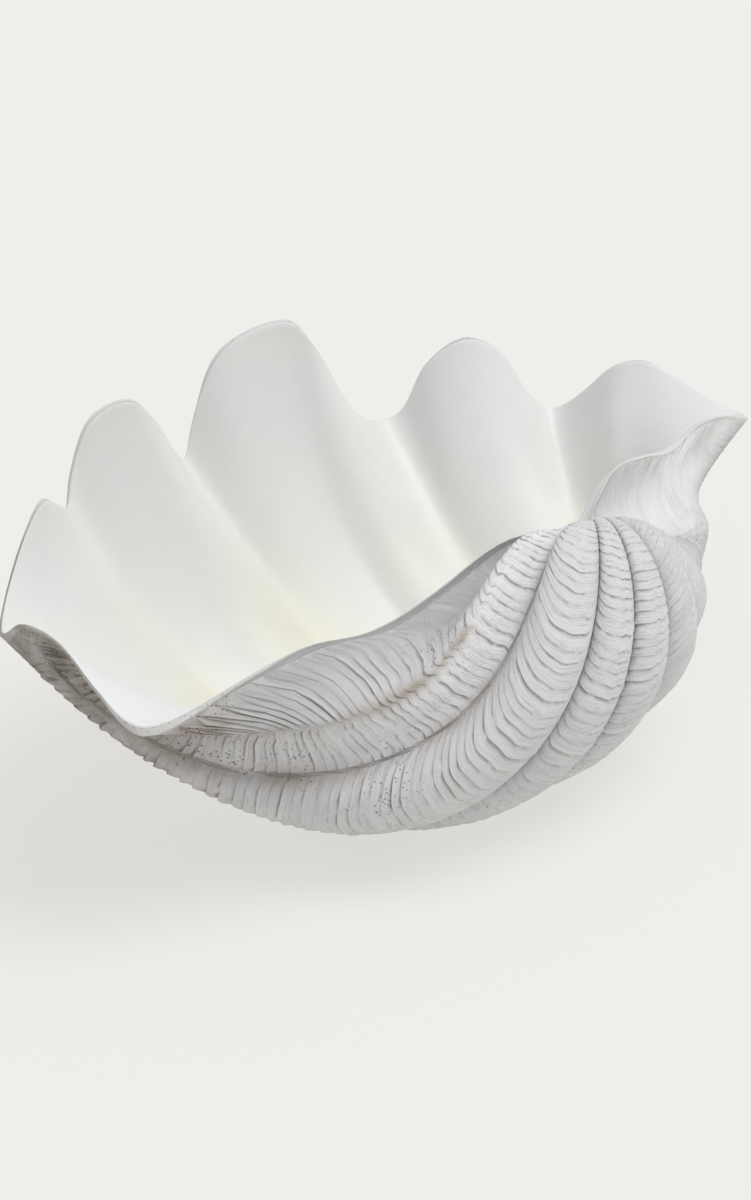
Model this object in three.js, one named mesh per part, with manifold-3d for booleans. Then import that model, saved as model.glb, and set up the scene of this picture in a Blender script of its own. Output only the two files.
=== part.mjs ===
// Giant clam shell: one valve of a giant clam, lying on its back like a bowl.
// The shell grew as one piece, so it is one solid. Units are millimetres, +Z is up,
// +X runs along the hinge towards the short ear and +Y towards the scalloped lobes.
// The origin is on the ground under the middle of the shell.
import * as THREE from 'three';
import * as BufferGeometryUtils from 'three/addons/utils/BufferGeometryUtils.js';
import Module from 'manifold-3d';

// The rim, walked from the beak over the long ear and the lobes to the short ear.
// Each point: its place, then x, y, z from the middle of the hinge, then how much the
// shell draws in just behind the lip there, then how much more it does further back.
const RIM = [
  ['beak', 0, 17, 5, 0.06, 0],
  ['long ear 1', -75, 21, 7, 0.06, 0],
  ['long ear 2', -143, 26, -11, 0.06, 0],
  ['long ear 3', -212, 32, -19, 0.06, 0],
  ['long ear 4', -276, 39, -12, 0.07, -0.05],
  ['long ear 5', -335, 47, -24, 0.08, -0.1],
  ['rib 1 end', -414, 70, -49, 0.12, -0.2],
  ['rib 1 side', -418, 113, -28, 0.07, -0.14],
  ['fold 1 foot', -417, 155, -1, 0.01, -0.07],
  ['fold 1 top', -420, 189, 5, -0.04, -0.01],
  ['fold 1 far foot', -407, 223, -20, 0.02, -0.17],
  ['rib 2 end', -388, 249, -30, 0.07, -0.33],
  ['rib 2 side', -356, 274, -16, 0.03, -0.23],
  ['fold 2 foot', -326, 286, 16, -0.02, -0.12],
  ['fold 2 top', -304, 290, 37, -0.06, -0.02],
  ['fold 2 far foot', -278, 302, 20, -0.02, -0.07],
  ['rib 3 end', -243, 327, -2, 0.02, -0.12],
  ['fold 3 foot', -230, 336, 19, 0.01, -0.09],
  ['fold 3 shoulder', -210, 334, 61, 0.01, -0.07],
  ['fold 3 top', -175, 327, 67, 0, -0.04],
  ['fold 3 far foot', -153, 325, 42, 0.07, -0.14],
  ['rib 4 end', -115, 333, -12, 0.14, -0.25],
  ['fold 4 foot', -101, 336, 21, 0.11, -0.2],
  ['fold 4 shoulder', -82, 330, 73, 0.08, -0.16],
  ['fold 4 brow', -47, 324, 86, 0.05, -0.11],
  ['fold 4 top', -14, 316, 84, 0.02, -0.06],
  ['fold 4 far shoulder', 0, 307, 60, 0.08, -0.11],
  ['fold 4 far foot', 33, 302, -4, 0.15, -0.15],
  ['rib 5 end', 64, 302, -22, 0.21, -0.2],
  ['fold 5 foot', 85, 293, -14, 0.17, -0.15],
  ['fold 5 shoulder', 95, 283, 22, 0.14, -0.09],
  ['fold 5 top', 120, 267, 43, 0.1, -0.04],
  ['fold 5 far shoulder', 149, 256, 26, 0.15, -0.03],
  ['fold 5 far foot', 166, 246, -13, 0.19, -0.01],
  ['rib 6 end', 189, 239, -33, 0.24, 0],
  ['fold 6 foot', 200, 212, -11, 0.18, 0.03],
  ['fold 6 shoulder', 203, 185, 18, 0.13, 0.05],
  ['fold 6 top', 216, 168, 24, 0.07, 0.08],
  ['fold 6 far shoulder', 228, 138, 12, 0.19, 0.05],
  ['fold 6 far foot', 229, 102, 3, 0.3, 0.03],
  ['rib 7 end', 235, 74, 0, 0.42, 0],
  ['short ear 1', 194, 60, 19, 0.31, 0],
  ['short ear 2', 151, 47, 28, 0.2, 0],
  ['short ear 3', 107, 33, 25, 0.13, 0],
  ['short ear 4', 72, 26, 34, 0.06, 0],
  ['short ear 5', 35, 21, 37, 0.06, 0],
  ['short ear 6', 15, 18, 21, 0.06, 0],
];

// Growth back in time from the lip to the beak, as a turn about the hinge in radians.
const GROWTH = [0.29, 0.04, 0.011];
const FLARE_TURN = 0.4;
const TUCK_TURN = 1.8;
const BEAK_TURN = 4.3;
const TUCK_END = [3.0, 4.3];

// Behind the lip each rib rounds into a cord between two creases, and the long ear
// rolls over its edge, in millimetres at the lip's size. Both come in over a turn.
const CORD_TURNS = [0.15, 1.1];
const EAR_TURNS = [0.4, 1.6];
const EAR_ROLL = 22;
const CORNER_OUTSET = 0.35;

// The shell swells beside the beak, up over the long ear and out under the short ear:
// the middle of each swelling from the middle of the hinge, its reach and its rise.
const SWELLINGS = [
  { middle: [-118, -28, 2], reach: [82, 46, 52], rise: [0, 6, 38] },
  { middle: [100, 2, -26], reach: [36, 36, 26], rise: [16, -18, 2] },
];

// Growth ledges on the outside: their number and their height near the lip.
const LEDGES = 17;
const LEDGE_HEIGHT = 2.6;
const LEDGE_TURN = 0.014;
const LIP_TURN = 0.035;

// The wall: its thickness at the lip, how it thickens, and how deep the bowl goes.
const LIP_THICKNESS = 5;
const WALL_THICKENING = 4.5;
const BOWL_TURN = 2.3;
const BOWL_ROWS = 12;
const FOLD_FADE = 0.24;
const FADE_PASSES = 12;

// Columns between two neighbouring rim points.
const COLUMNS_PER_POINT = 2;

// How the shell lies: its lean towards the short ear, and where the middle of the
// hinge then is. What would reach below the ground is worn flat, where it rests.
const LEAN_DEGREES = 5;
const HINGE_PLACE = [93.5, -122, 187];

// One coordinate of a closed centripetal curve through the rim points.
function rimLoop() {
  const columns = [];
  const count = RIM.length;
  const spots = RIM.map((row) => new THREE.Vector3(row[1], row[2], row[3]));
  const knot = (a, b) => Math.sqrt(spots[a].distanceTo(spots[b]));
  for (let i = 0; i < count; i += 1) {
    const ring = [(i + count - 1) % count, i, (i + 1) % count, (i + 2) % count];
    const t = [0];
    for (let k = 0; k < 3; k += 1) t.push(t[k] + knot(ring[k], ring[k + 1]));
    for (let step = 0; step < COLUMNS_PER_POINT; step += 1) {
      const at = t[1] + (t[2] - t[1]) * step / COLUMNS_PER_POINT;
      const value = (field) => curveValue(ring.map((k) => RIM[k][field]), t, at);
      columns.push({ x: value(1), y: value(2), z: value(3), flare: value(4), tuck: value(5) });
    }
  }
  return columns;
}

function curveValue(p, t, at) {
  const mix = (a, b, ta, tb) => (a * (tb - at) + b * (at - ta)) / (tb - ta);
  const a1 = mix(p[0], p[1], t[0], t[1]);
  const a2 = mix(p[1], p[2], t[1], t[2]);
  const a3 = mix(p[2], p[3], t[2], t[3]);
  return mix(mix(a1, a2, t[0], t[2]), mix(a2, a3, t[1], t[3]), t[1], t[2]);
}

const columnAt = (name) => RIM.findIndex((row) => row[0] === name) * COLUMNS_PER_POINT;
const firstCordColumn = columnAt('rib 1 end');
const cornerStart = columnAt('long ear 4');
const cornerEnd = columnAt('fold 1 foot');
const lastCordColumn = columnAt('rib 7 end');
const smooth = (turn, [from, to]) => THREE.MathUtils.smoothstep(turn, from, to);

// The loop that the rim turns into further back: half an ellipse from crease to crease
// over each rib, the long ear rolled over, and the corner at rib 1 rounded off.
function cordLoop(columns) {
  const spots = columns.map((column) => new THREE.Vector3(column.x, column.y, column.z));
  const walk = [0];
  spots.forEach((spot, i) => walk.push(walk[i] + spot.distanceTo(spots[(i + 1) % spots.length])));
  const cords = columns.map((column) => ({ ...column }));
  for (let rib = 2; rib <= 6; rib += 1) {
    const first = columnAt(`fold ${rib - 1} top`);
    const crest = columnAt(`rib ${rib} end`);
    const last = columnAt(`fold ${rib} top`);
    const chord = spots[last].clone().sub(spots[first]);
    const foot = spots[crest].clone().sub(spots[first]).dot(chord) / chord.lengthSq();
    for (let i = first; i <= last; i += 1) {
      const half = i <= crest
        ? 0.5 * (walk[i] - walk[first]) / (walk[crest] - walk[first])
        : 0.5 + 0.5 * (walk[i] - walk[crest]) / (walk[last] - walk[crest]);
      const arch = Math.sin(Math.PI * half);
      const across = (1 - Math.cos(Math.PI * half)) / 2 + (foot - 0.5) * arch;
      for (const key of ['x', 'y', 'z', 'flare', 'tuck']) {
        const a = columns[first][key];
        const b = columns[last][key];
        cords[i][key] = a + (b - a) * across + (columns[crest][key] - (a + (b - a) * foot)) * arch;
      }
    }
  }
  for (let i = 1; i < firstCordColumn; i += 1) {
    cords[i].z -= EAR_ROLL * Math.sin(Math.PI * walk[i] / walk[firstCordColumn]);
  }
  const from = { ...cords[cornerStart] };
  const to = { ...cords[cornerEnd] };
  for (let i = cornerStart; i <= cornerEnd; i += 1) {
    const t = (walk[i] - walk[cornerStart]) / (walk[cornerEnd] - walk[cornerStart]);
    for (const key of ['x', 'y', 'z', 'flare', 'tuck']) {
      const corner = columns[firstCordColumn][key];
      const pull = corner + CORNER_OUTSET * (corner - (from[key] + to[key]) / 2);
      cords[i][key] = (1 - t) ** 2 * from[key] + 2 * t * (1 - t) * pull + t ** 2 * to[key];
    }
  }
  return cords;
}

// The loop at one age, between the rim's own and the corded one.
function loopAt(columns, cords, turn) {
  const corded = smooth(turn, CORD_TURNS);
  const rolled = smooth(turn, EAR_TURNS);
  return columns.map((column, i) => {
    const part = i < cornerEnd ? rolled : corded;
    const mixed = {};
    for (const key of Object.keys(column)) mixed[key] = column[key] + (cords[i][key] - column[key]) * part;
    return mixed;
  });
}

// A rim column turned back about the hinge and shrunk to its size at that age.
function grown(column, turn) {
  const age = GROWTH[0] * turn + GROWTH[1] * turn ** 2 + GROWTH[2] * turn ** 3;
  const flare = 1 - column.flare * (1 - Math.exp(-turn / FLARE_TURN));
  const drawn = (1 - Math.exp(-((turn / TUCK_TURN) ** 2))) * (1 - smooth(turn, TUCK_END));
  const tuck = 1 - column.tuck * drawn;
  const size = Math.exp(-age) * flare * tuck;
  const c = Math.cos(turn);
  const s = Math.sin(turn);
  return new THREE.Vector3(column.x, column.y * c + column.z * s, column.z * c - column.y * s)
    .multiplyScalar(size);
}

// Directions square to the shell at each column, pointing into the bowl.
function inwardNormals(columns, turn, points) {
  const count = columns.length;
  const small = 0.02;
  const earlier = columns.map((column) => grown(column, Math.max(turn - small, 0)));
  const later = columns.map((column) => grown(column, turn + small));
  return points.map((point, i) => {
    const along = points[(i + 1) % count].clone().sub(points[(i + count - 1) % count]);
    const back = later[i].clone().sub(earlier[i]);
    return back.cross(along).normalize();
  });
}

function smoothed(points, amount) {
  const count = points.length;
  let ring = points;
  for (let pass = 0; pass < FADE_PASSES; pass += 1) {
    ring = ring.map((point, i) => {
      const middle = ring[(i + 1) % count].clone().add(ring[(i + count - 1) % count]).multiplyScalar(0.5);
      return point.clone().lerp(middle, amount);
    });
  }
  return ring;
}

// The outside: each ledge is a low row, then a brow row that stands proud on the ribs.
function outerRows(columns, cords) {
  const rows = [];
  for (let ledge = 0; ledge < LEDGES; ledge += 1) {
    const turn = BEAK_TURN * (ledge / LEDGES);
    const height = ledge === 0 ? 0 : LEDGE_HEIGHT * Math.exp(-GROWTH[0] * turn);
    rows.push(loopAt(columns, cords, turn).map((column) => grown(column, turn)));
    const brow = turn + (ledge === 0 ? LIP_TURN : LEDGE_TURN);
    const loop = loopAt(columns, cords, brow);
    const points = loop.map((column) => grown(column, brow));
    const inward = inwardNormals(loop, brow, points);
    rows.push(points.map((point, i) => {
      const onRibs = i > firstCordColumn && i < lastCordColumn;
      return point.addScaledVector(inward[i], onRibs ? -height : 0);
    }));
  }
  rows.push(loopAt(columns, cords, BEAK_TURN).map((column) => grown(column, BEAK_TURN)));
  return rows;
}

function innerRows(columns) {
  const rows = [];
  for (let k = 0; k <= BOWL_ROWS; k += 1) {
    const turn = BOWL_TURN * (k / BOWL_ROWS) ** 1.15;
    const points = columns.map((column) => grown(column, turn));
    const fade = Math.min(0.04 + FOLD_FADE * turn, 0.5);
    const soft = smoothed(points, fade);
    const inward = inwardNormals(columns, turn, soft);
    const wall = LIP_THICKNESS + WALL_THICKENING * turn;
    rows.push(soft.map((point, i) => point.addScaledVector(inward[i], wall)));
  }
  return rows;
}

// A point of the shell carried along by the swellings beside the beak.
function swollen(point) {
  let moved = point.clone();
  for (const { middle, reach, rise } of SWELLINGS) {
    const away = moved.toArray().map((value, k) => (value - middle[k]) / reach[k]);
    const share = Math.exp(-(away[0] ** 2 + away[1] ** 2 + away[2] ** 2));
    moved = moved.addScaledVector(new THREE.Vector3(...rise), share);
  }
  return moved;
}

function centreOf(points) {
  return points.reduce((sum, point) => sum.add(point), new THREE.Vector3()).divideScalar(points.length);
}

// Rings that shrink to a rounded end beyond the last ring, in the given direction.
function roundedEnd(ring, reach, steps) {
  const centre = centreOf(ring);
  const rings = [];
  for (let k = 1; k < steps; k += 1) {
    const angle = (Math.PI / 2) * (k / steps);
    rings.push(ring.map((point) => centre.clone().lerp(point, Math.cos(angle))
      .addScaledVector(reach, Math.sin(angle))));
  }
  return { rings, tip: centre.clone().add(reach) };
}

// One closed skin: beak end, outside rows, lip, inside rows, floor of the bowl.
function shellGeometry() {
  const columns = rimLoop();
  const outer = outerRows(columns, cordLoop(columns)).reverse();
  const inner = innerRows(columns);
  const beak = roundedEnd(outer[0], centreOf(outer[0]).sub(centreOf(outer[1])), 2);
  const deepest = inner[inner.length - 1];
  const sink = centreOf(deepest).sub(centreOf(inner[inner.length - 2]));
  const bowl = roundedEnd(deepest, sink, 3);
  const rings = [...beak.rings.reverse(), ...outer, ...inner, ...bowl.rings];
  const count = columns.length;
  const positions = [];
  const push = (point) => positions.push(...swollen(point).toArray());
  rings.forEach((ring) => ring.forEach(push));
  push(beak.tip);
  push(bowl.tip);
  const faces = [];
  for (let r = 0; r + 1 < rings.length; r += 1) {
    for (let i = 0; i < count; i += 1) {
      const a = r * count + i;
      const b = r * count + (i + 1) % count;
      faces.push(a, a + count, b, b, a + count, b + count);
    }
  }
  const beakTip = rings.length * count;
  const bowlTip = beakTip + 1;
  const last = (rings.length - 1) * count;
  for (let i = 0; i < count; i += 1) {
    const next = (i + 1) % count;
    faces.push(beakTip, i, next);
    faces.push(bowlTip, last + next, last + i);
  }
  const geometry = new THREE.BufferGeometry();
  geometry.setAttribute('position', new THREE.Float32BufferAttribute(positions, 3));
  geometry.setIndex(faces);
  return geometry;
}

function toSolid(geometry) {
  const bare = geometry.clone();
  bare.deleteAttribute('normal');
  bare.deleteAttribute('uv');
  const merged = BufferGeometryUtils.mergeVertices(bare, 1e-4);
  return new wasm.Manifold(new wasm.Mesh({
    numProp: 3,
    vertProperties: new Float32Array(merged.attributes.position.array),
    triVerts: new Uint32Array(merged.index.array),
  }));
}

function toGeometry(solid) {
  const mesh = solid.getMesh();
  const geometry = new THREE.BufferGeometry();
  geometry.setAttribute('position', new THREE.BufferAttribute(new Float32Array(mesh.vertProperties), 3));
  geometry.setIndex(new THREE.BufferAttribute(new Uint32Array(mesh.triVerts), 1));
  return geometry;
}

// The shell set over the origin, with its lowest ribs worn flat by the ground.
function restedShell() {
  const geometry = shellGeometry();
  geometry.rotateY(THREE.MathUtils.degToRad(LEAN_DEGREES));
  geometry.translate(...HINGE_PLACE);
  const ground = new THREE.BoxGeometry(2000, 2000, 200);
  ground.translate(0, 0, -100);
  const worn = toGeometry(toSolid(geometry).subtract(toSolid(ground)));
  worn.computeVertexNormals();
  return worn;
}

const wasm = await Module();
wasm.setup();

const shellMaterial = new THREE.MeshStandardMaterial({ color: 0xe4e3de, roughness: 0.8, metalness: 0 });
const shell = new THREE.Mesh(restedShell(), shellMaterial);
shell.name = 'shell';

const group = new THREE.Group();
group.add(shell);

export default group;
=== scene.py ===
import math

import bpy
import numpy as np
from mathutils import Matrix, Vector


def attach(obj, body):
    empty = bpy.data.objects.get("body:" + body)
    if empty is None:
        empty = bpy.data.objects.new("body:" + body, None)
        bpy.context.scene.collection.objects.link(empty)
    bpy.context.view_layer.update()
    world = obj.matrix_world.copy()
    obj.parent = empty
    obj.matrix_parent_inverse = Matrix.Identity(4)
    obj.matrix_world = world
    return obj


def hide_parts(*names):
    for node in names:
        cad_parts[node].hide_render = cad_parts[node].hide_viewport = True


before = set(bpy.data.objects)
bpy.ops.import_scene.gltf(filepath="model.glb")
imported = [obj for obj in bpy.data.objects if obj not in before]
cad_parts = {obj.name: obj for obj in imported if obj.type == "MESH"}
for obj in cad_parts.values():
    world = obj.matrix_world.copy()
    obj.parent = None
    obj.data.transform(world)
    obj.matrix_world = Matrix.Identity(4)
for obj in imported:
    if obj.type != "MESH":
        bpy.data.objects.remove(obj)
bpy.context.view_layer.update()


# The shell's rim.
# A clam grows at its rim alone, so the rim's loop sets the whole shell: seven ribs that end
# low on the lip, with a tall fold between each two, and the two ears beside the hinge.

MM = 0.001

# Each point: its place on the shell, then x, y, z in millimetres from the middle of the
# hinge, then how much the shell draws in just behind the lip there, then further back.
RIM = [
    ("beak", 0, 17, 5, 0.06, 0),
    ("long ear 1", -75, 21, 7, 0.06, 0),
    ("long ear 2", -143, 26, -11, 0.06, 0),
    ("long ear 3", -212, 32, -19, 0.06, 0),
    ("long ear 4", -276, 39, -12, 0.07, -0.05),
    ("long ear 5", -335, 47, -24, 0.08, -0.1),
    ("rib 1 end", -414, 70, -49, 0.12, -0.2),
    ("rib 1 side", -418, 113, -28, 0.07, -0.14),
    ("fold 1 foot", -417, 155, -1, 0.01, -0.07),
    ("fold 1 top", -420, 189, 5, -0.04, -0.01),
    ("fold 1 far foot", -407, 223, -20, 0.02, -0.17),
    ("rib 2 end", -388, 249, -30, 0.07, -0.33),
    ("rib 2 side", -356, 274, -16, 0.03, -0.23),
    ("fold 2 foot", -326, 286, 16, -0.02, -0.12),
    ("fold 2 top", -304, 290, 37, -0.06, -0.02),
    ("fold 2 far foot", -278, 302, 20, -0.02, -0.07),
    ("rib 3 end", -243, 327, -2, 0.02, -0.12),
    ("fold 3 foot", -230, 336, 19, 0.01, -0.09),
    ("fold 3 shoulder", -210, 334, 61, 0.01, -0.07),
    ("fold 3 top", -175, 327, 67, 0, -0.04),
    ("fold 3 far foot", -153, 325, 42, 0.07, -0.14),
    ("rib 4 end", -115, 333, -12, 0.14, -0.25),
    ("fold 4 foot", -101, 336, 21, 0.11, -0.2),
    ("fold 4 shoulder", -82, 330, 73, 0.08, -0.16),
    ("fold 4 brow", -47, 324, 86, 0.05, -0.11),
    ("fold 4 top", -14, 316, 84, 0.02, -0.06),
    ("fold 4 far shoulder", 0, 307, 60, 0.08, -0.11),
    ("fold 4 far foot", 33, 302, -4, 0.15, -0.15),
    ("rib 5 end", 64, 302, -22, 0.21, -0.2),
    ("fold 5 foot", 85, 293, -14, 0.17, -0.15),
    ("fold 5 shoulder", 95, 283, 22, 0.14, -0.09),
    ("fold 5 top", 120, 267, 43, 0.1, -0.04),
    ("fold 5 far shoulder", 149, 256, 26, 0.15, -0.03),
    ("fold 5 far foot", 166, 246, -13, 0.19, -0.01),
    ("rib 6 end", 189, 239, -33, 0.24, 0),
    ("fold 6 foot", 200, 212, -11, 0.18, 0.03),
    ("fold 6 shoulder", 203, 185, 18, 0.13, 0.05),
    ("fold 6 top", 216, 168, 24, 0.07, 0.08),
    ("fold 6 far shoulder", 228, 138, 12, 0.19, 0.05),
    ("fold 6 far foot", 229, 102, 3, 0.3, 0.03),
    ("rib 7 end", 235, 74, 0, 0.42, 0),
    ("short ear 1", 194, 60, 19, 0.31, 0),
    ("short ear 2", 151, 47, 28, 0.2, 0),
    ("short ear 3", 107, 33, 25, 0.13, 0),
    ("short ear 4", 72, 26, 34, 0.06, 0),
    ("short ear 5", 35, 21, 37, 0.06, 0),
    ("short ear 6", 15, 18, 21, 0.06, 0),
]
COLUMNS_PER_POINT = 6


def column_of(place):
    """The column of the shell that starts at a named point of the rim."""
    return [row[0] for row in RIM].index(place) * COLUMNS_PER_POINT


def rim_loop():
    """The rim as a closed centripetal curve through its points, one row for each column."""
    points = np.array([row[1:] for row in RIM], dtype=float)
    points[:, :3] *= MM
    chord = np.sqrt(np.linalg.norm((np.roll(points, -1, 0) - points)[:, :3], axis=1))
    count = len(points)
    columns = []
    for i in range(count):
        before, here, after, beyond = [points[(i + k) % count] for k in (-1, 0, 1, 2)]
        t0, t1 = 0.0, chord[i - 1]
        t2 = t1 + chord[i]
        t3 = t2 + chord[(i + 1) % count]
        for step in range(COLUMNS_PER_POINT):
            at = t1 + (t2 - t1) * step / COLUMNS_PER_POINT

            def mix(a, b, ta, tb):
                return (a * (tb - at) + b * (at - ta)) / (tb - ta)

            first = mix(before, here, t0, t1)
            middle = mix(here, after, t1, t2)
            last = mix(after, beyond, t2, t3)
            columns.append(mix(mix(first, middle, t0, t2), mix(middle, last, t1, t3), t1, t2))
    return np.array(columns)


# The ribs as cords.
# Behind the lip each rib rounds into a cord between two narrow creases, as its folds were
# laid down tighter when the clam was young, and the long ear rolls over its own edge.
EAR_ROLL = 22 * MM
CORNER_OUTSET = 0.35
CORDED_RIBS = (2, 3, 4, 5, 6)
FIRST_CORD_COLUMN = column_of("rib 1 end")
CORNER_START = column_of("long ear 4")
CORNER_END = column_of("fold 1 foot")
LAST_CORD_COLUMN = column_of("rib 7 end")

loop = rim_loop()
COLUMNS = len(loop)
step_lengths = np.linalg.norm(np.roll(loop, -1, 0)[:, :3] - loop[:, :3], axis=1)
walk = np.concatenate([[0.0], np.cumsum(step_lengths)])


def cord_loop():
    """The loop further back, and how high each column stands on its cord, from 0 to 1."""
    cords = loop.copy()
    crown = np.ones(COLUMNS)
    for rib in CORDED_RIBS:
        first = column_of(f"fold {rib - 1} top")
        crest = column_of(f"rib {rib} end")
        last = column_of(f"fold {rib} top")
        chord = loop[last, :3] - loop[first, :3]
        foot = (loop[crest, :3] - loop[first, :3]) @ chord / (chord @ chord)
        for i in range(first, last + 1):
            if i <= crest:
                half = 0.5 * (walk[i] - walk[first]) / (walk[crest] - walk[first])
            else:
                half = 0.5 + 0.5 * (walk[i] - walk[crest]) / (walk[last] - walk[crest])
            arch = math.sin(math.pi * half)
            across = (1 - math.cos(math.pi * half)) / 2 + (foot - 0.5) * arch
            straight = loop[first] + (loop[last] - loop[first]) * across
            crest_rise = loop[crest] - (loop[first] + (loop[last] - loop[first]) * foot)
            cords[i] = straight + crest_rise * arch
            crown[i] = arch
    ear = np.arange(1, FIRST_CORD_COLUMN)
    cords[ear, 2] -= EAR_ROLL * np.sin(math.pi * walk[ear] / walk[FIRST_CORD_COLUMN])
    start, end = cords[CORNER_START].copy(), cords[CORNER_END].copy()
    corner = loop[FIRST_CORD_COLUMN]
    pull = corner + CORNER_OUTSET * (corner - (start + end) / 2)
    for i in range(CORNER_START, CORNER_END + 1):
        t = (walk[i] - walk[CORNER_START]) / (walk[CORNER_END] - walk[CORNER_START])
        cords[i] = (1 - t) ** 2 * start + 2 * t * (1 - t) * pull + t**2 * end
    return cords, crown


cords, crown = cord_loop()
on_long_ear = np.arange(COLUMNS) < CORNER_END


# The shell's growth.
# Every older growth line is the rim's loop turned back about the hinge and shrunk, from the
# lip (turn 0) down to the curled beak, so the whole shell is one winding sheet.
GROWTH = (0.29, 0.04, 0.011)
FLARE_TURN = 0.4
TUCK_TURN = 1.8
TUCK_END = (3.0, 4.3)
CORD_TURNS = (0.15, 1.1)
EAR_TURNS = (0.4, 1.6)
BEAK_TURN = 4.3
BOWL_TURN = 2.3
# Each swelling beside the beak: its middle, its reach and its rise, in millimetres.
SWELLINGS = (
    ((-118, -28, 2), (82, 46, 52), (0, 6, 38)),
    ((100, 2, -26), (36, 36, 26), (16, -18, 2)),
)


def smooth(value, start, end):
    """A soft step from 0 at start to 1 at end."""
    t = np.clip((value - start) / (end - start), 0, 1)
    return t * t * (3 - 2 * t)


def size_at(turn):
    """The shell's size at an age, against its size now."""
    return np.exp(-(GROWTH[0] * turn + GROWTH[1] * turn**2 + GROWTH[2] * turn**3))


def grown(turns):
    """The points of the shell for a table of turns, one row of it for each growth line."""
    part = np.where(on_long_ear, smooth(turns, *EAR_TURNS), smooth(turns, *CORD_TURNS))
    column = loop + (cords - loop) * part[..., None]
    flare = 1 - column[..., 3] * (1 - np.exp(-turns / FLARE_TURN))
    drawn = (1 - np.exp(-((turns / TUCK_TURN) ** 2))) * (1 - smooth(turns, *TUCK_END))
    size = size_at(turns) * flare * (1 - column[..., 4] * drawn)
    x, y, z = (column[..., k] * size for k in range(3))
    c, s = np.cos(turns), np.sin(turns)
    return np.stack([x, y * c + z * s, z * c - y * s], axis=-1)


def swollen(points):
    """Points of the shell carried up over the long ear and out under the short ear."""
    moved = points
    for middle, reach, rise in np.array(SWELLINGS) * MM:
        away = (moved - middle) / reach
        moved = moved + np.exp(-(away**2).sum(axis=-1, keepdims=True)) * rise
    return moved


def outward(points):
    """Directions square to a table of points, away from the bowl."""
    along = np.roll(points, -1, 1) - np.roll(points, 1, 1)
    back = np.gradient(points, axis=0)
    normal = np.cross(along, back)
    return normal / np.maximum(np.linalg.norm(normal, axis=-1, keepdims=True), 1e-9)


# The growth ledges on the outside.
# Each season's growth ends in a thin step that overhangs the one before it. The steps are
# ragged, bow towards the lip on every cord, and on the ears are low and run out at the lip.
LEDGE_SPACING = 0.0135
HINGE_TO_LIP = 0.33
FIRST_LEDGE = 0.03
LEDGE_PAUSES = (0.75, 1.3)
LEDGE_CROWDING = 0.4
LEDGE_STRENGTHS = (0.45, 1.0)
STRONG_EVERY = 5
STRONG_LEDGE = 1.45
STRONGEST = 1.3
USUAL_HEIGHT = 0.72
HEIGHT_SPREAD = 0.5
HEIGHT_RANGE = (0.08, 1.5)
HEIGHT_WAVES = (8, 15, 26, 41, 66, 97)
HEIGHT_DRIFT = 1.1
EDGE_WAVES = (7, 12, 19, 29, 41)
EDGE_DRIFT = 0.5
RAGGED = 0.12
LEDGE_BOW = 0.14
LEDGE_RISE = 0.0037
LEDGE_SHRINKING = 0.8
LEDGE_SETTLING = 0.66
# Each point of a ledge: how far it lies on the way to the next ledge, its height, and its
# painted shade: above 0 a painted shadow under the ledge, below 0 a painted highlight on its brow.
LEDGE_PROFILE = ((0.0, 0.0, 1.0), (0.08, 1.0, -1.0), (0.34, 0.88, -0.3), (0.68, 0.40, 0.0))
# The turns over which ledges start to wander, reach full height, and steady at the beak.
WANDER_TURNS = (0.0, 0.25)
FULL_TURNS = (0, 0.2)
STEADY_TURNS = (3.4, 4.2)
CREASE_SLOPE = 2.5
LAST_FOLD_FADE = 0.7
MARGIN_START = 0.15
RIB_MARGIN = 1.8
EAR_MARGIN = 0.6
LATE_TURN = 3.0
EAR_FLOOR = 0.02
# How old the growth line is that runs out at each of these points of the lip.
EAR_AGES = {
    "beak": 4.3, "long ear 1": 3.0, "long ear 2": 2.6, "long ear 3": 2.3, "long ear 4": 2.0,
    "long ear 5": 1.7, "rib 1 end": 1.22, "rib 1 side": 0.95, "fold 1 foot": 0.62,
    "fold 1 top": 0.0, "rib 7 end": 0.0, "short ear 1": 1.0, "short ear 2": 1.5,
    "short ear 3": 2.0, "short ear 4": 2.5, "short ear 5": 3.0, "short ear 6": 3.6,
}
EAR_PASSES = 6
LONG_EAR_LEDGES = 0.18
SHORT_EAR_LEDGES = 0.10
EAR_FADE = 0.7

column_at = np.arange(COLUMNS)
dice = np.random.default_rng(11)


def ledge_turns():
    """Where each ledge lies, closer together towards the beak."""
    turns = [FIRST_LEDGE]
    while turns[-1] < BEAK_TURN:
        size = float(size_at(turns[-1]))
        pause = dice.uniform(*LEDGE_PAUSES)
        turns.append(turns[-1] + pause * LEDGE_SPACING / (HINGE_TO_LIP * size**LEDGE_CROWDING))
    return np.array(turns[:-1])


def ripple(rows, waves, drift):
    """A table of soft random ripples along the shell that change slowly row by row."""
    around = column_at / COLUMNS * 2 * math.pi
    total = np.zeros((rows, COLUMNS))
    for wave in waves:
        phase = dice.uniform(0, 2 * math.pi) + np.cumsum(dice.normal(0, drift, rows))
        total += np.sin(wave * around + phase[:, None]) / len(waves) ** 0.5
    return total


ledges = ledge_turns()
LEDGES = len(ledges)
ledge_ends = np.append(ledges[1:], BEAK_TURN)
ledge_gap = ledge_ends - ledges
ledge_strength = dice.uniform(*LEDGE_STRENGTHS, LEDGES)
ledge_strength[::STRONG_EVERY] = STRONG_LEDGE
ledge_edge = ripple(LEDGES, EDGE_WAVES, EDGE_DRIFT)
ledge_height = USUAL_HEIGHT + HEIGHT_SPREAD * ripple(LEDGES, HEIGHT_WAVES, HEIGHT_DRIFT)
ledge_height = np.clip(ledge_height, *HEIGHT_RANGE)

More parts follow.
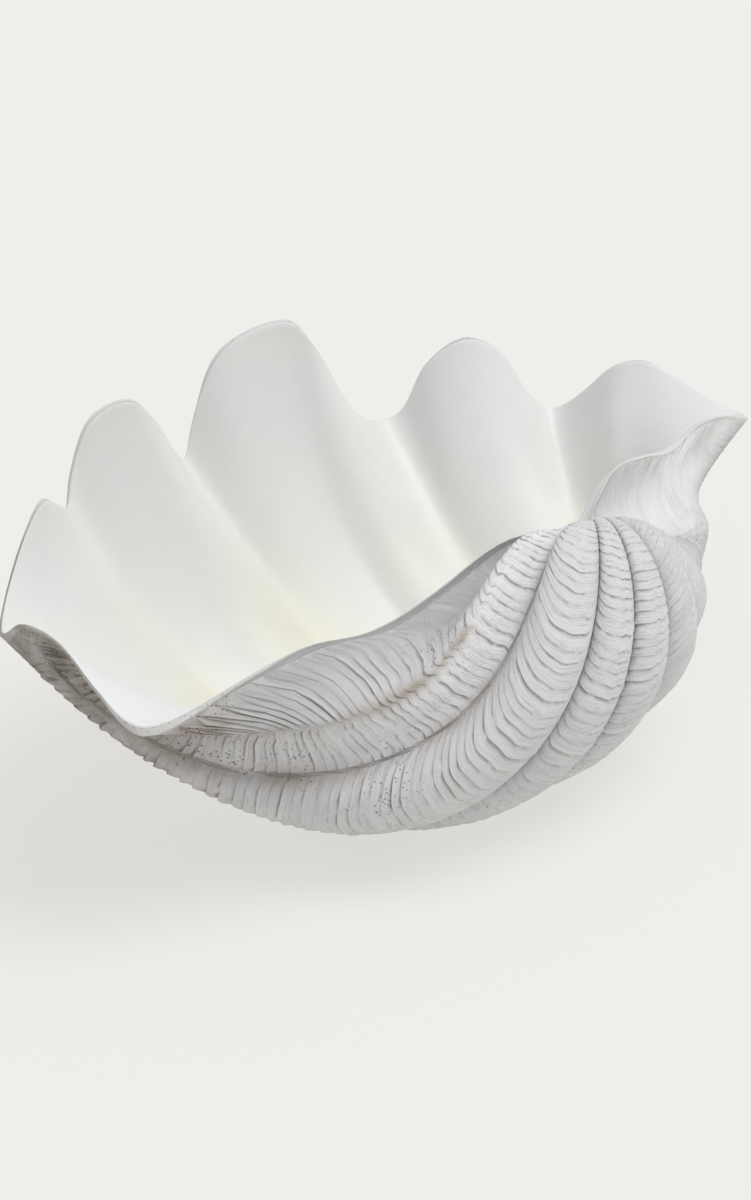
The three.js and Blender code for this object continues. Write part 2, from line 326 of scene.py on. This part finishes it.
ear_age = np.interp(
    column_at,
    [column_of(place) for place in EAR_AGES] + [COLUMNS],
    list(EAR_AGES.values()) + [EAR_AGES["beak"]],
)
for _ in range(EAR_PASSES):
    ear_age = (np.roll(ear_age, 1) + 2 * ear_age + np.roll(ear_age, -1)) / 4
long_ear = 1 - smooth(column_at, column_of("long ear 3"), column_of("rib 1 end"))
short_ear = smooth(column_at, column_of("rib 7 end"), column_of("short ear 1"))
rib_share = 1 - np.maximum(long_ear, short_ear)
ear_ledges = np.where(short_ear > 0, SHORT_EAR_LEDGES, LONG_EAR_LEDGES)
past_last_fold = smooth(column_at, column_of("fold 6 top"), LAST_CORD_COLUMN)


def turn_on_ears(age):
    """The turn of a growth line of an age at each column: on the ears it runs out at the lip."""
    age = np.maximum(age, 0)
    bend = smooth(age, MARGIN_START * long_ear, RIB_MARGIN + EAR_MARGIN * long_ear)
    past = np.maximum(age**2 - ear_age**2 * bend, 0) ** 0.5
    late = smooth(age, LATE_TURN, BEAK_TURN)
    return np.maximum(past * (1 - late) + age * late, EAR_FLOOR)


# Tables for the outside, lip first, with as many rows for each ledge as its profile has points.
ledge_crown = np.clip(crown, 0, 1)
shares, profile_rises, profile_shades = np.array(LEDGE_PROFILE).T
ages = (ledges[:, None] + shares * ledge_gap[:, None]).ravel()[:, None]
counts = (np.arange(LEDGES)[:, None] + shares).ravel()[:, None] + np.zeros(COLUMNS)
wander = smooth(ages, *WANDER_TURNS) * (1 - smooth(ages, *STEADY_TURNS))
edges = np.repeat(ledge_edge * ledge_gap[:, None], len(shares), axis=0)
shift = (RAGGED * edges - LEDGE_BOW * (ledge_crown - 0.5)) * wander * rib_share
turns = np.maximum.accumulate(turn_on_ears(ages + shift), axis=0)
starts = turns[::len(shares)]
crowding = np.clip(np.diff(starts, axis=0, append=BEAK_TURN) / ledge_gap[:, None], 0, 1)
strong = np.clip(ledge_height * ledge_strength[:, None], 0, STRONGEST) * crowding
strong = strong * smooth(ledges, *FULL_TURNS)[:, None] * (1 - LAST_FOLD_FADE * past_last_fold)
cord_share = np.clip(ledge_crown * CREASE_SLOPE, 0, 1)
strong = strong * cord_share * (rib_share + (1 - rib_share) * ear_ledges)
strong = strong * (1 - long_ear * (1 - smooth(starts, EAR_FLOOR, EAR_FADE)))
strong = np.repeat(strong, len(shares), axis=0)
rises = LEDGE_RISE * size_at(ages) ** LEDGE_SHRINKING * strong
rises = rises * (np.tile(profile_rises, LEDGES)[:, None] - LEDGE_SETTLING)
# The ledges' painted shade: a painted shadow under each ledge and a painted highlight on its brow.
shades = np.tile(profile_shades, LEDGES)[:, None] * np.clip(strong, 0, 1)


# The wall, the lip and the inside.
# The wall thickens from a blunt lip towards the bowl's floor, where the folds of the outside
# fade, because the clam lays down smooth new shell over the whole inside all its life.
LIP_THICKNESS = 3.2 * MM
WALL_SHOULDER = 1.8 * MM
SHOULDER_TURN = 0.3
WALL_THICKENING = 4.5 * MM
LIP_TURN = 0.006
LIP_LINE_TURN = 0.012
BEHIND_LIP_TURN = 0.02
LIP_BULGE = 0.0009
LIP_ANGLES = (36, 72, 108, 144)
INSIDE_ROWS = 78
INSIDE_CROWDING = 1.15
BEAK_RINGS = 3
BEAK_REACH = 0.5
BOWL_RINGS = 8
LEAST_FADE = 0.04
MOST_FADE = 0.5
FOLD_FADE = 0.24
FADE_PASSES = 12
FADE_WAVES = len(RIM)


def faded(points, amounts):
    """The inside's rows with their folds softened, more for each row than for the last."""
    waves = np.fft.rfft(points, axis=1)
    number = np.minimum(np.arange(waves.shape[1]), FADE_WAVES)
    bend = 1 - np.cos(math.pi * number / FADE_WAVES)
    keep = (1 - amounts[:, None] * bend[None, :]) ** FADE_PASSES
    return np.fft.irfft(waves * keep[..., None], n=points.shape[1], axis=1)


def inside_table():
    """The points of the inside from the lip to the floor of the bowl, and their turns."""
    share = np.arange(INSIDE_ROWS + 1) / INSIDE_ROWS
    turns = np.maximum(BOWL_TURN * share**INSIDE_CROWDING, LIP_TURN)[:, None] + np.zeros(COLUMNS)
    soft = faded(grown(turns), np.minimum(LEAST_FADE + FOLD_FADE * turns[:, 0], MOST_FADE))
    shoulder = WALL_SHOULDER * smooth(turns, 0, SHOULDER_TURN)
    wall = LIP_THICKNESS + shoulder + WALL_THICKENING * turns
    return soft - outward(soft) * wall[..., None], turns


def rounded_end(ring, reach, steps):
    """Rings that shrink to a rounded end beyond a ring, the last one a single point."""
    centre = ring.mean(axis=0)
    angles = [math.pi / 2 * k / steps for k in range(1, steps + 1)]
    return [centre + (ring - centre) * max(math.cos(a), 0) + reach * math.sin(a) for a in angles]


def growth_line(turn):
    """The points of the shell along one growth line."""
    return grown(np.full((1, COLUMNS), turn))[0]


outer = grown(turns)
outer = outer + outward(outer) * rises[..., None]
inner, inner_turns = inside_table()

lip_outer = growth_line(LIP_TURN)
lip_inner = inner[0]
lip_middle = (lip_outer + lip_inner) / 2
forward = growth_line(0.0) - growth_line(BEHIND_LIP_TURN)
forward /= np.linalg.norm(forward, axis=1, keepdims=True)
lip_rows = [
    lip_middle
    + (lip_outer - lip_middle) * math.cos(math.radians(angle))
    + forward * LIP_BULGE * math.sin(math.radians(angle))
    for angle in LIP_ANGLES
]

beak_reach = (outer[-1] - outer[-5]).mean(axis=0) * BEAK_REACH
beak_rings = rounded_end(outer[-1], beak_reach, BEAK_RINGS)
bowl_rings = rounded_end(inner[-1], (inner[-1] - inner[-3]).mean(axis=0), BOWL_RINGS)
lip_line = growth_line(LIP_LINE_TURN)

# All rows in one table, from the tip of the beak over the lip to the floor of the bowl.
rows = [*beak_rings[::-1], *outer[::-1], lip_line, lip_outer, *lip_rows, *inner, *bowl_rings]
OUTSIDE = BEAK_RINGS + len(outer)
OVER_LIP = 2 + len(lip_rows)


def for_all_rows(at_beak, outside, at_lip, within, at_floor):
    """One table for all rows, from tables for the outside and the inside and three values."""
    return np.concatenate([
        np.full((BEAK_RINGS, COLUMNS), float(at_beak)),
        outside[::-1],
        np.full((OVER_LIP, COLUMNS), at_lip),
        within,
        np.full((BOWL_RINGS, COLUMNS), float(at_floor)),
    ])


inner_counts = np.interp(inner_turns, ledges, np.arange(LEDGES)) - 1.0
row_counts = for_all_rows(LEDGES, counts, -0.5, inner_counts, LEDGES)
row_shades = for_all_rows(0, shades, 0.0, np.zeros(inner_turns.shape), 0)
row_turns = for_all_rows(BEAK_TURN, turns, 0.0, inner_turns, BOWL_TURN)


# The shell itself.
# One sheet laid out as a flat grid, wound into the shell by the rows above, with its seam
# along the beak closed and its two ends drawn to a point. It leans a little to the short
# ear, and its lowest ribs are worn flat where it rests.
LEAN = math.radians(5)
HINGE_PLACE = Vector((93.5, -122, 187)) * MM
MERGE_DISTANCE = 1e-6
SHARP_ANGLE = math.radians(35)
# How many columns each mark spreads to either side, or for the channels which share of a rib.
CREASE_REACH = 2.2
RIB_EDGE_REACH = 3.0
FIRST_RIB_REACH = 9.0
GRIME_REACH = 24.0
CHANNEL_REACH = 0.6
# The turns over which the creases' marks and the first rib's painted highlight start, and the
# grime's ends.
CREASE_TURNS = (0.15, 0.9)
FIRST_RIB_TURNS = (0.8, 1.7)
GRIME_TURNS = (0.35, 1.1)

bpy.ops.object.select_all(action="DESELECT")
bpy.ops.mesh.primitive_grid_add(x_subdivisions=COLUMNS, y_subdivisions=len(rows) - 1, size=1)
shell = bpy.context.object
shell.name = "clam_shell"
lean = np.array(Matrix.Rotation(LEAN, 3, "Y"))
table = swollen(np.array(rows))
table = np.concatenate([table, table[:, :1]], axis=1)
place = table.reshape(-1, 3) @ lean.T + np.array(HINGE_PLACE)
place[:, 2] = np.maximum(place[:, 2], 0)
shell.data.vertices.foreach_set("co", place.ravel())


def with_seam(values):
    """A table's values in the order of the sheet's points, its first column repeated."""
    return np.concatenate([values, values[:, :1]], axis=1).ravel()


def near(place, reach, power=2):
    """A share for each column: 1 at a named point of the rim, falling off over the reach."""
    away = np.abs(column_at - column_of(place))
    return np.exp(-((away / reach) ** power))


# What the finish follows: how far back a point lies, the painted shadow and highlight of its
# ledge, the creases, the first rib's edge and the painted highlight on its side, the grime on the
# left end, the two ears, the channels between the folds, and which side of the shell it is on.
crease = np.zeros(COLUMNS)
for fold in range(1, 7):
    crease = np.maximum(crease, near(f"fold {fold} top", CREASE_REACH))
channel = np.zeros(COLUMNS)
for rib in CORDED_RIBS:
    span = (column_of(f"fold {rib} top") - column_of(f"fold {rib - 1} top")) / 2
    channel = np.maximum(channel, near(f"rib {rib} end", span * CHANNEL_REACH))
inside = np.zeros((len(rows), COLUMNS))
inside[OUTSIDE + OVER_LIP - 1:] = 1.0
everywhere = np.ones((len(rows), 1))
marks = {
    "turn": row_turns,
    "ledge": row_shades,
    "crease": crease * smooth(row_turns, *CREASE_TURNS),
    "rib_edge": near("rib 1 end", RIB_EDGE_REACH) * everywhere,
    "first_rib_highlight": near("rib 1 side", FIRST_RIB_REACH, 4) * smooth(row_turns, *FIRST_RIB_TURNS),
    "grime": near("fold 1 far foot", GRIME_REACH, 4) * (1 - smooth(row_turns, *GRIME_TURNS)),
    "ear": long_ear * everywhere,
    "short_ear": short_ear * everywhere,
    "channel": channel * everywhere,
    "inside": inside,
}
for name, values in marks.items():
    layer = shell.data.attributes.new(name, "FLOAT", "POINT")
    layer.data.foreach_set("value", with_seam(values))

across = walk * everywhere
down = np.concatenate([row_counts, row_counts[:, :1]], axis=1)
corners = np.empty(len(shell.data.loops), dtype=np.int32)
shell.data.loops.foreach_get("vertex_index", corners)
uv = np.stack([across.ravel()[corners], down.ravel()[corners]], axis=1)
shell.data.uv_layers[0].data.foreach_set("uv", uv.ravel())
shell.data.update()

bpy.ops.object.mode_set(mode="EDIT")
bpy.ops.mesh.select_all(action="SELECT")
bpy.ops.mesh.remove_doubles(threshold=MERGE_DISTANCE)
bpy.ops.mesh.normals_make_consistent(inside=False)
bpy.ops.object.mode_set(mode="OBJECT")
bpy.ops.object.shade_smooth_by_angle(angle=SHARP_ANGLE)


# The shell's finish.
# Outside it is matte, chalky and grey, with fine growth lines, painted shadow under the ledges
# and painted highlights on their brows, dirt in the creases, small worm pits and a painted
# highlight on the side of the first rib. Inside it is satin porcelain white, creamy in the
# channels.
GREY = (0.53, 0.525, 0.52, 1)
CHALK_AND_BROW_HIGHLIGHT = (0.72, 0.715, 0.71, 1)
BEAK_WHITE = (0.70, 0.695, 0.69, 1)
# White for the short ear, and for a painted highlight on the side of the first rib.
WHITE_AND_RIB_HIGHLIGHT = (0.86, 0.855, 0.845, 1)
YOUNG_GREY = (0.40, 0.385, 0.36, 1)
EAR_GREY = (0.42, 0.42, 0.42, 1)
# Grey for the fine growth lines, and for the painted shadow under each ledge.
LINE_GREY_AND_LEDGE_SHADOW = (0.33, 0.31, 0.275, 1)
STAIN = (0.35, 0.28, 0.20, 1)
PIT = (0.13, 0.105, 0.08, 1)
GRIME = (0.235, 0.205, 0.165, 1)
LIP_WHITE = (0.66, 0.65, 0.62, 1)
PORCELAIN = (0.78, 0.775, 0.755, 1)
CREAM = (0.765, 0.75, 0.57, 1)
# How fine each pattern of lines is, along the lip for each metre and across it for each ledge.
FINE_LINES = (18, 5.5)
HAIR_LINES = (40, 17)
BROAD_BANDS = (7, 0.9)
# How fine the clouds, grains and pits are for each metre.
CLOUDS = 9.0
GRAINS = 420.0
PITS = 290.0
# How much each pattern is raised, as a share of the tallest relief.
FINE_RELIEF = 0.55
HAIR_RELIEF = 0.25
GRAIN_RELIEF = 0.18
PIT_RELIEF = 0.9
INSIDE_RELIEF = 0.04
TALLEST_RELIEF = 0.0022
RELIEF_STRENGTH = 0.75
CHALKY = 0.86
SATIN = 0.40

finish = bpy.data.materials.new("clam_shell_finish")
finish.use_nodes = True
tree = finish.node_tree
tree.nodes.clear()


def node(kind, inputs=None, **settings):
    """A node of the finish, with its sockets set to values or fed by other sockets."""
    made = tree.nodes.new(kind)
    for name, value in settings.items():
        setattr(made, name, value)
    for name, value in (inputs or {}).items():
        if isinstance(value, bpy.types.NodeSocket):
            tree.links.new(value, made.inputs[name])
        else:
            made.inputs[name].default_value = value
    return made


def mark(name):
    """One of the shell's own marks, read as a number."""
    return node("ShaderNodeAttribute", attribute_name=name).outputs["Fac"]


def sum_up(operation, a, b=0.0):
    """Two numbers brought together."""
    return node("ShaderNodeMath", {0: a, 1: b}, operation=operation).outputs[0]


def ramped(value, start, end, low=0.0, high=1.0):
    """A number stretched so that start gives low and end gives high."""
    inputs = {"Value": value, "From Min": start, "From Max": end, "To Min": low, "To Max": high}
    return node("ShaderNodeMapRange", inputs, clamp=True).outputs["Result"]


def tinted(share, under, over):
    """A colour laid over another one by a share from 0 to 1."""
    made = node("ShaderNodeMix", data_type="RGBA")
    for socket, value in ((0, share), (6, under), (7, over)):
        if isinstance(value, bpy.types.NodeSocket):
            tree.links.new(value, made.inputs[socket])
        else:
            made.inputs[socket].default_value = value
    return made.outputs[2]


def mottle(vector, scale, detail=4.0, roughness=0.55):
    """A cloudy pattern in the shell."""
    inputs = {"Vector": vector, "Scale": scale, "Detail": detail, "Roughness": roughness}
    return node("ShaderNodeTexNoise", inputs).outputs["Fac"]


def stretched(vector, x, y, z=1.0):
    """A pattern's coordinates stretched along the growth lines."""
    return node("ShaderNodeMapping", {"Vector": vector, "Scale": (x, y, z)}).outputs["Vector"]


lines = node("ShaderNodeUVMap", uv_map=shell.data.uv_layers[0].name).outputs["UV"]
spot = node("ShaderNodeTexCoord").outputs["Object"]
turn = mark("turn")
ear = mark("ear")
plain = sum_up("SUBTRACT", 1.0, sum_up("MULTIPLY", mark("short_ear"), 0.7))

fine_lines = mottle(stretched(lines, *FINE_LINES), 1.0, 3.0, 0.6)
hair_lines = mottle(stretched(lines, *HAIR_LINES), 1.0, 2.0, 0.5)
broad_bands = mottle(stretched(lines, *BROAD_BANDS), 1.0, 3.0, 0.55)
clouds = mottle(spot, CLOUDS, 5.0)
grains = mottle(spot, GRAINS, 3.0, 0.7)

pit_places = node("ShaderNodeTexVoronoi", {"Vector": spot, "Scale": PITS, "Randomness": 1.0})
pit_field = ramped(mottle(spot, 16.0, 2.0), 0.45, 0.56)
pit_field = sum_up("MULTIPLY", pit_field, ramped(turn, 2.3, 1.1, 0.12, 1.0))
pit_field = sum_up("MULTIPLY", pit_field, sum_up("SUBTRACT", 1.0, mark("short_ear")))
pit_field = sum_up("MULTIPLY", pit_field, sum_up("SUBTRACT", 1.0, sum_up("MULTIPLY", ear, 0.8)))
pits = sum_up("MULTIPLY", ramped(pit_places.outputs["Distance"], 0.12, 0.24, 1.0, 0.0), pit_field)

outside = tinted(ramped(clouds, 0.35, 0.68), GREY, CHALK_AND_BROW_HIGHLIGHT)
outside = tinted(ramped(turn, 0.9, 2.4, 0.0, 0.85), outside, BEAK_WHITE)
outside = tinted(ramped(turn, 1.0, 0.1, 0.0, 0.55), outside, YOUNG_GREY)
outside = tinted(sum_up("MULTIPLY", ear, 0.75), outside, EAR_GREY)
# A painted highlight: the side of the first rib is painted whiter to stand in for light it lacks.
outside = tinted(sum_up("MULTIPLY", mark("first_rib_highlight"), 0.85), outside, WHITE_AND_RIB_HIGHLIGHT)
outside = tinted(sum_up("MULTIPLY", mark("short_ear"), 0.9), outside, WHITE_AND_RIB_HIGHLIGHT)
outside = tinted(ramped(broad_bands, 0.42, 0.75, 0.0, 0.45), outside, CHALK_AND_BROW_HIGHLIGHT)
fine_dark = sum_up("MULTIPLY", ramped(fine_lines, 0.50, 0.30, 0.0, 0.36), plain)
outside = tinted(fine_dark, outside, LINE_GREY_AND_LEDGE_SHADOW)
hair_dark = sum_up("MULTIPLY", ramped(hair_lines, 0.45, 0.25, 0.0, 0.2), plain)
outside = tinted(hair_dark, outside, LINE_GREY_AND_LEDGE_SHADOW)
# Painted light on the ledges: a painted highlight on each brow, then a painted shadow under each
# ledge.
ledge = mark("ledge")
outside = tinted(ramped(ledge, -0.15, -0.9, 0.0, 0.6), outside, CHALK_AND_BROW_HIGHLIGHT)
under = sum_up("MULTIPLY", ramped(ledge, 0.15, 1.0), ramped(clouds, 0.25, 0.6, 0.35, 0.8))
outside = tinted(under, outside, LINE_GREY_AND_LEDGE_SHADOW)
stain = sum_up("MULTIPLY", mark("crease"), ramped(mottle(spot, 22.0), 0.4, 0.7, 0.1, 0.7))
outside = tinted(stain, outside, STAIN)
hollow = sum_up("MULTIPLY", mark("short_ear"), ramped(mottle(spot, 19.0), 0.5, 0.68, 0.0, 0.18))
outside = tinted(hollow, outside, STAIN)
edge_stain = sum_up("MULTIPLY", mark("rib_edge"), ramped(mottle(spot, 11.0), 0.46, 0.62, 0.0, 0.85))
outside = tinted(edge_stain, outside, STAIN)
grime = sum_up("MULTIPLY", mark("grime"), ramped(mottle(spot, 26.0, 5.0), 0.36, 0.58, 0.3, 1.0))
outside = tinted(grime, outside, GRIME)
outside = tinted(pits, outside, PIT)
lip_tone = tinted(sum_up("MULTIPLY", grime, 0.8), LIP_WHITE, GRIME)
outside = tinted(ramped(turn, 0.016, 0.03, 1.0, 0.0), outside, lip_tone)

deep = sum_up("MULTIPLY", mark("channel"), ramped(turn, 0.15, 0.8, 0.1, 1.0))
deep = sum_up("MAXIMUM", deep, ramped(turn, 0.9, 1.9))
deep = sum_up("MULTIPLY", deep, ramped(mottle(spot, 6.0, 3.0), 0.3, 0.62, 0.35, 1.0))
porcelain = tinted(deep, PORCELAIN, CREAM)
porcelain = tinted(ramped(broad_bands, 0.35, 0.7, 0.0, 0.04), porcelain, EAR_GREY)
colour = tinted(mark("inside"), outside, porcelain)

relief = sum_up("MULTIPLY", sum_up("MULTIPLY", fine_lines, plain), FINE_RELIEF)
relief = sum_up("ADD", relief, sum_up("MULTIPLY", hair_lines, HAIR_RELIEF))
relief = sum_up("ADD", relief, sum_up("MULTIPLY", grains, GRAIN_RELIEF))
relief = sum_up("SUBTRACT", relief, sum_up("MULTIPLY", pits, PIT_RELIEF))
relief = sum_up("MULTIPLY", relief, sum_up("SUBTRACT", 1.0, mark("inside")))
inner_relief = sum_up("MULTIPLY", broad_bands, INSIDE_RELIEF)
relief = sum_up("ADD", relief, sum_up("MULTIPLY", inner_relief, mark("inside")))
heights = {"Strength": RELIEF_STRENGTH, "Distance": TALLEST_RELIEF, "Height": relief}
bump = node("ShaderNodeBump", heights)

roughness = ramped(mark("inside"), 0.0, 1.0, CHALKY, SATIN)
surface = node("ShaderNodeBsdfPrincipled", {
    "Base Color": colour,
    "Roughness": roughness,
    "Normal": bump.outputs["Normal"],
    "IOR": 1.5,
})
result = node("ShaderNodeOutputMaterial")
tree.links.new(surface.outputs["BSDF"], result.inputs["Surface"])
shell.data.materials.append(finish)

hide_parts("shell")
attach(shell, "root")


# The floor and the light.
# A plain pale floor that fills the view and is lit from below as well, so that the shell
# throws next to no shadow on it, under a broad sky and one soft light from the right.
FLOOR_SIZE = 200
FLOOR_PALE = (0.24, 0.233, 0.22, 1)
FLOOR_ROUGHNESS = 0.9
FLOOR_GLOW_COLOUR = (1, 0.985, 0.96, 1)
FLOOR_GLOW = 0.595
SKY = (0.93, 0.95, 1.0, 1)
SKY_STRENGTH = 0.66
KEY_FROM = (0.7, -0.8, 1.9)
KEY_STRENGTH = 1.6
KEY_SOFTNESS = math.radians(40)

bpy.ops.object.select_all(action="DESELECT")
bpy.ops.mesh.primitive_plane_add(size=FLOOR_SIZE, location=(0, 0, 0))
floor = bpy.context.object
floor.name = "floor"
floor_finish = bpy.data.materials.new("pale_floor")
floor_finish.use_nodes = True
floor_surface = floor_finish.node_tree.nodes["Principled BSDF"]
floor_surface.inputs["Base Color"].default_value = FLOOR_PALE
floor_surface.inputs["Roughness"].default_value = FLOOR_ROUGHNESS
floor_surface.inputs["Emission Color"].default_value = FLOOR_GLOW_COLOUR
floor_surface.inputs["Emission Strength"].default_value = FLOOR_GLOW
floor.data.materials.append(floor_finish)

world = bpy.data.worlds.new("studio")
world.use_nodes = True
world.node_tree.nodes["Background"].inputs["Color"].default_value = SKY
world.node_tree.nodes["Background"].inputs["Strength"].default_value = SKY_STRENGTH
bpy.context.scene.world = world

bpy.ops.object.light_add(type="SUN", location=KEY_FROM)
key = bpy.context.object
key.name = "key"
key.data.energy = KEY_STRENGTH
key.data.angle = KEY_SOFTNESS
key.rotation_euler = (-Vector(KEY_FROM)).to_track_quat("-Z", "Y").to_euler()


# The camera.
# It looks along the valve's length from its near left corner and a little down, from so far
# that the lines stay nearly parallel, and leans with the shell.
VIEW_RISE = math.radians(25)
VIEW_TURN = math.radians(45)
VIEW_DISTANCE = 12.0
VIEW_WIDTH = 0.561
AIM_RIGHT = -0.1697
AIM_UP = -0.0468
SENSOR_WIDTH = 36

right = Vector((math.cos(VIEW_TURN), -math.sin(VIEW_TURN), 0))
up = Vector((
    math.sin(VIEW_TURN) * math.sin(VIEW_RISE),
    math.cos(VIEW_TURN) * math.sin(VIEW_RISE),
    math.cos(VIEW_RISE),
))
leaning = Matrix.Rotation(LEAN, 3, "Y")
right = leaning @ right
up = leaning @ up
back = right.cross(up)
aim = HINGE_PLACE + right * AIM_RIGHT + up * AIM_UP
facing = Matrix((right, up, back)).transposed()
bpy.ops.object.camera_add(location=aim + back * VIEW_DISTANCE, rotation=facing.to_euler())
camera = bpy.context.object
camera.name = "camera"
camera.data.sensor_fit = "HORIZONTAL"
camera.data.sensor_width = SENSOR_WIDTH
camera.data.lens = SENSOR_WIDTH * VIEW_DISTANCE / VIEW_WIDTH
bpy.context.scene.camera = camera
bpy.context.scene.view_settings.view_transform = "Standard"
